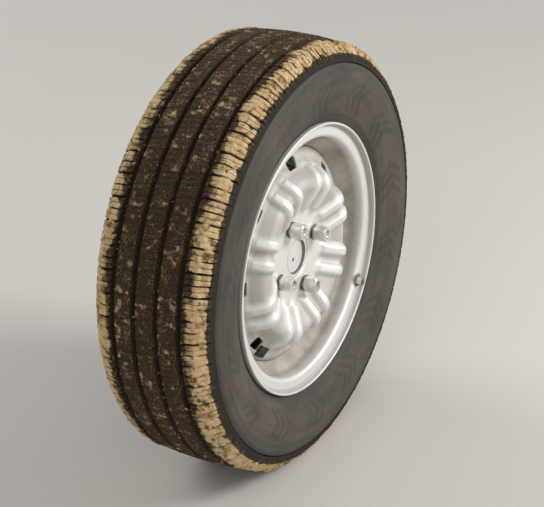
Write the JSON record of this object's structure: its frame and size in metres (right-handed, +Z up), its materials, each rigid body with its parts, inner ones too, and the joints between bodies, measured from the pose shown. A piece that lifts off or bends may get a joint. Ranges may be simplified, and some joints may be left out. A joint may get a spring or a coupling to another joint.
{
  "type": "car rear wheel corner with disc brake and stub axle",
  "caption": "Left rear wheel corner of a saloon car: worn gravel tyre on a silver pressed-steel wheel that turns on its hub, with disc brake, splash shield and stub axle.",
  "frame": {"origin": "centre of the stub axle's mounting face, on the spindle's axis", "axes": "+X to the back of the car, +Y inboard along the spindle and out of the mounting face, +Z up; the wheel's outer face looks to -Y"},
  "size_m": [0.5779, 0.1712, 0.578],
  "materials": {
    "tyre_rubber": "worn rubber with dried mud",
    "wheel_paint": "silver wheel paint",
    "plated_steel": "zinc plated",
    "bearing_steel": "ground",
    "disc_iron": "turned face, rusty hat",
    "cast_parts": "sand cast, bare",
    "forged_steel": "forged and machined",
    "shield_sheet": "black coated sheet",
    "pad_lining": "friction lining on a steel back",
    "soft_rubber": "matt",
    "weight_alloy": "dull grey"
  },
  "bodies": {
    "axle": {"stub_axle": "forged_steel", "axle_nut": "plated_steel", "axle_washer": "plated_steel", "splash_shield": "shield_sheet", "brake_pad_inner": "pad_lining", "brake_pad_outer": "pad_lining", "caliper_bracket": "cast_parts", "caliper_body": "cast_parts", "caliper_piston": "bearing_steel", "bleed_screw": "plated_steel", "guide_pin_1": "plated_steel", "guide_boot_1": "soft_rubber", "bracket_bolt_1": "plated_steel", "guide_pin_2": "plated_steel", "guide_boot_2": "soft_rubber", "bracket_bolt_2": "plated_steel"},
    "wheel": {"tyre": "tyre_rubber", "rim": "wheel_paint", "wheel_disc": "wheel_paint", "balance_weight": "weight_alloy", "valve_stem": "soft_rubber", "valve_cap": "soft_rubber", "hub": "forged_steel", "hub_seal": "soft_rubber", "inner_bearing": "bearing_steel", "outer_bearing": "bearing_steel", "grease_cap": "wheel_paint", "brake_disc": "disc_iron", "wheel_nut_1": "plated_steel", "wheel_nut_2": "plated_steel", "wheel_nut_3": "plated_steel", "wheel_nut_4": "plated_steel", "wheel_stud_1": "plated_steel", "wheel_stud_2": "plated_steel", "wheel_stud_3": "plated_steel", "wheel_stud_4": "plated_steel"}
  },
  "joints": [
    {"name": "wheel_spin", "type": "hinge", "parent": "axle", "child": "wheel", "pos_m": [0, 0, 0], "axis": [0, 1, 0], "continuous": true}
  ]
}
